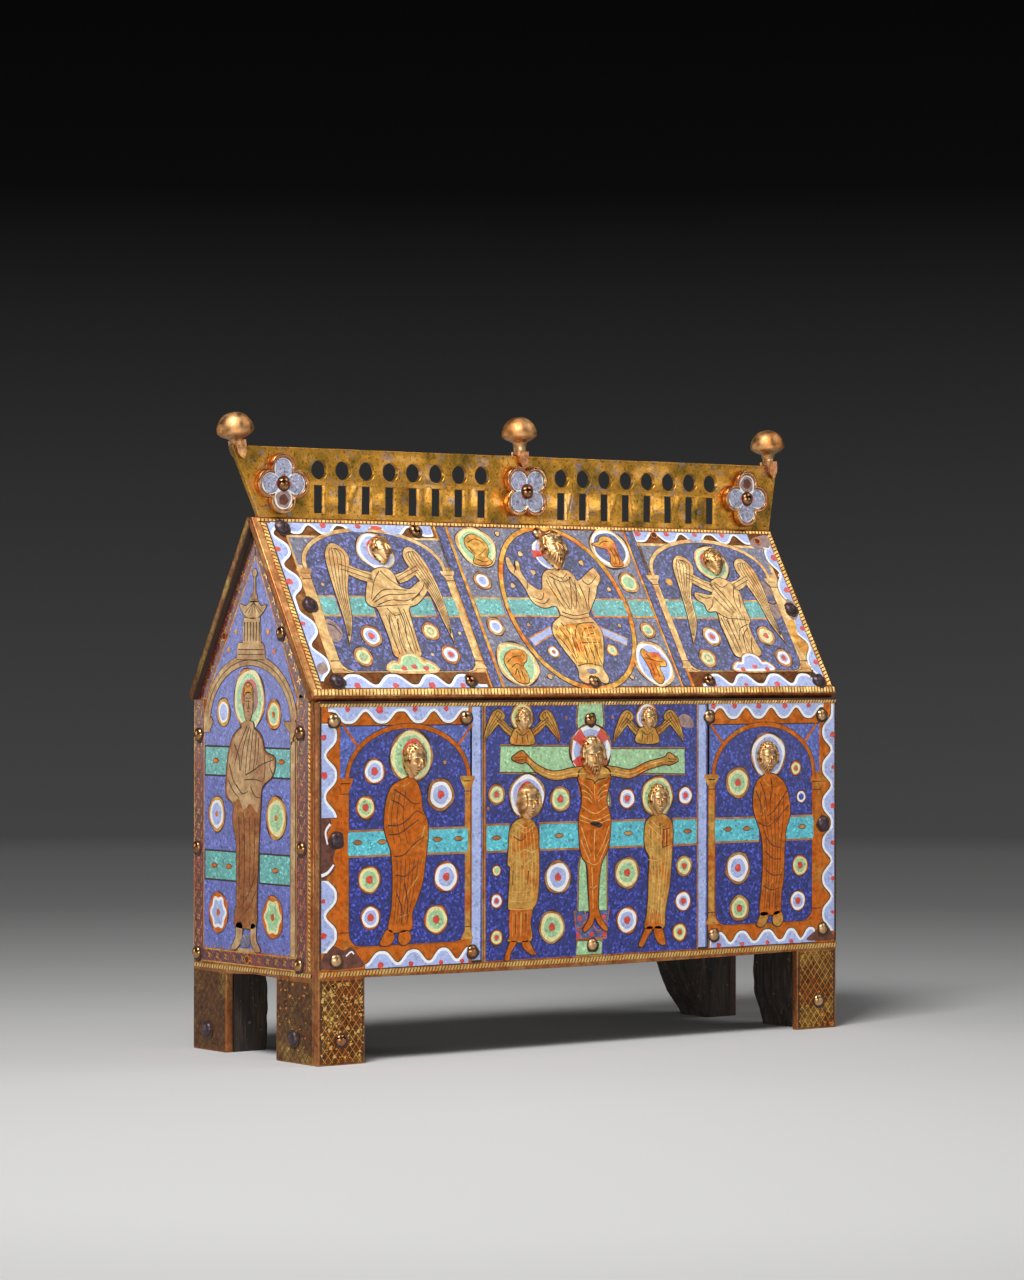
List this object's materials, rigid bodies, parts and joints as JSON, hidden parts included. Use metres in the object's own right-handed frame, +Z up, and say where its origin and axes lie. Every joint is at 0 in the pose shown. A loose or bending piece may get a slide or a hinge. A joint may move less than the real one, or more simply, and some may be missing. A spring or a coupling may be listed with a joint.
{
  "type": "reliquary casket",
  "caption": "Gabled reliquary casket on square feet: hollow oak box clad in nailed enamelled copper plates, with a lift-off roof, a pierced ridge crest and round knobs.",
  "frame": {"origin": "on the surface that the feet stand on, under the middle of the whole casket with its knobs", "axes": "+X along the length to the viewer's right, +Y to the back, +Z up; the picture side faces -Y"},
  "size_m": [0.2398, 0.0812, 0.2124],
  "materials": {
    "enamelled_copper": "copper plate filled with blue, turquoise, green and white enamel, worn gilding",
    "engraved_copper": "worn gilt copper with engraved lattice",
    "gilt_copper": "old gilding, rubbed and stained",
    "polished_copper": "smooth, polished by handling",
    "enamel_medallion": "copper rim round glossy white and pale blue enamel",
    "oak": "old dark oak, worm-eaten at the feet"
  },
  "bodies": {
    "root": {"back_board": "oak", "back_plate": "engraved_copper", "crest": "gilt_copper", "floor_board": "oak", "front_board": "oak", "front_plate": "enamelled_copper", "head_christ": "gilt_copper", "head_john": "gilt_copper", "head_left_angel": "gilt_copper", "head_left_saint": "gilt_copper", "head_mary": "gilt_copper", "head_right_angel": "gilt_copper", "head_right_saint": "gilt_copper", "head_roof_christ": "gilt_copper", "head_roof_left_angel": "gilt_copper", "head_roof_right_angel": "gilt_copper", "knob_left": "polished_copper", "knob_middle": "polished_copper", "knob_right": "polished_copper", "left_end_board": "oak", "left_end_plate": "enamelled_copper", "medallion_left": "enamel_medallion", "medallion_middle": "enamel_medallion", "medallion_right": "enamel_medallion", "right_end_board": "oak", "right_end_plate": "enamelled_copper", "roof_back_board": "oak", "roof_back_plate": "engraved_copper", "roof_front_board": "oak", "roof_front_plate": "enamelled_copper"}
  },
  "joints": []
}
